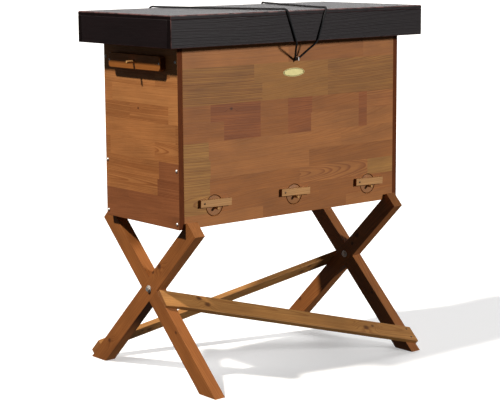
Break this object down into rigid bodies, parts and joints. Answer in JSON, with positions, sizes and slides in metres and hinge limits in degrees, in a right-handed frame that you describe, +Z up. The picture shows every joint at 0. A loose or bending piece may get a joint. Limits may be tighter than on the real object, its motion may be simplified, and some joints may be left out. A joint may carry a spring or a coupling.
{
  "type": "top bar hive",
  "caption": "Long wooden top bar hive on a crossed-leg stand, with a deep telescoping roof held by an elastic cord, plugged entrances and turning latch bars.",
  "frame": {"origin": "on the ground, under the middle of the four feet", "axes": "+Z up, X along the hive, -Y towards the entrance side"},
  "size_m": [0.96, 0.614, 1.0696],
  "materials": {
    "stained_pine_panel": "brown-stained edge-glued pine, satin",
    "stained_pine_frame": "light brown-stained pine, satin",
    "stained_plug": "turned pine, brown stain",
    "pale_pine": "pale planed wood, thin oil",
    "bare_pine": "bare planed pine",
    "dark_stained_wood": "near-black stain, satin",
    "zinc_steel": "bright zinc plate",
    "brass_nail": "small brass nail",
    "plate_enamel": "cream and gold lacquered metal, no text",
    "elastic": "black braided sleeve over rubber"
  },
  "bodies": {
    "stand": {"left_back_top_leg": "stained_pine_frame", "left_front_top_leg": "stained_pine_frame", "right_back_top_leg": "stained_pine_frame", "right_front_top_leg": "stained_pine_frame", "front_rail": "stained_pine_frame", "back_rail": "stained_pine_frame", "crossing_bolts": "zinc_steel", "bolt_nuts": "zinc_steel", "bolt_washers": "zinc_steel", "rail_screws": "zinc_steel"},
    "roof": {"roof_back_board": "dark_stained_wood", "roof_back_cleat": "dark_stained_wood", "roof_front_board": "dark_stained_wood", "roof_front_cleat": "dark_stained_wood", "roof_left_board": "dark_stained_wood", "roof_right_board": "dark_stained_wood", "roof_top_board": "dark_stained_wood"},
    "left_latch": {"left_latch_bar": "pale_pine"},
    "middle_latch": {"middle_latch_bar": "pale_pine"},
    "right_latch": {"right_latch_bar": "pale_pine"},
    "hive_box": {"back_eyes": "zinc_steel", "back_wall": "stained_pine_panel", "batten_pegs": "pale_pine", "batten_screws": "zinc_steel", "cord_knots": "elastic", "elastic_cord": "elastic", "floor_board": "bare_pine", "follower_bars": "bare_pine", "front_hook": "zinc_steel", "front_plate": "plate_enamel", "front_wall": "stained_pine_panel", "latch_screws": "zinc_steel", "left_carry_batten": "stained_pine_panel", "left_end_panel": "stained_pine_panel", "left_follower_board": "bare_pine", "left_plug": "stained_plug", "middle_plug": "stained_plug", "panel_screws": "zinc_steel", "plate_nails": "brass_nail", "plug_pegs": "pale_pine", "right_carry_batten": "stained_pine_panel", "right_end_panel": "stained_pine_panel", "right_follower_board": "bare_pine", "right_plug": "stained_plug", "top_bars": "bare_pine"}
  },
  "joints": [
    {"name": "box_lift", "type": "slide", "parent": "stand", "child": "hive_box", "axis": [0, 0, 1], "range_m": [0, 0.1]},
    {"name": "roof_lift", "type": "slide", "parent": "hive_box", "child": "roof", "axis": [0, 0, 1], "range_m": [0, 0.15], "deforming": ["elastic_cord"]},
    {"name": "left_latch_turn", "type": "hinge", "parent": "hive_box", "child": "left_latch", "pos_m": [-0.342, -0.1775, 0.5306], "axis": [0, -1, 0], "range_deg": [0, 100]},
    {"name": "middle_latch_turn", "type": "hinge", "parent": "hive_box", "child": "middle_latch", "pos_m": [-0.042, -0.1775, 0.5306], "axis": [0, -1, 0], "range_deg": [0, 100]},
    {"name": "right_latch_turn", "type": "hinge", "parent": "hive_box", "child": "right_latch", "pos_m": [0.258, -0.1775, 0.5306], "axis": [0, -1, 0], "range_deg": [0, 100]}
  ]
}
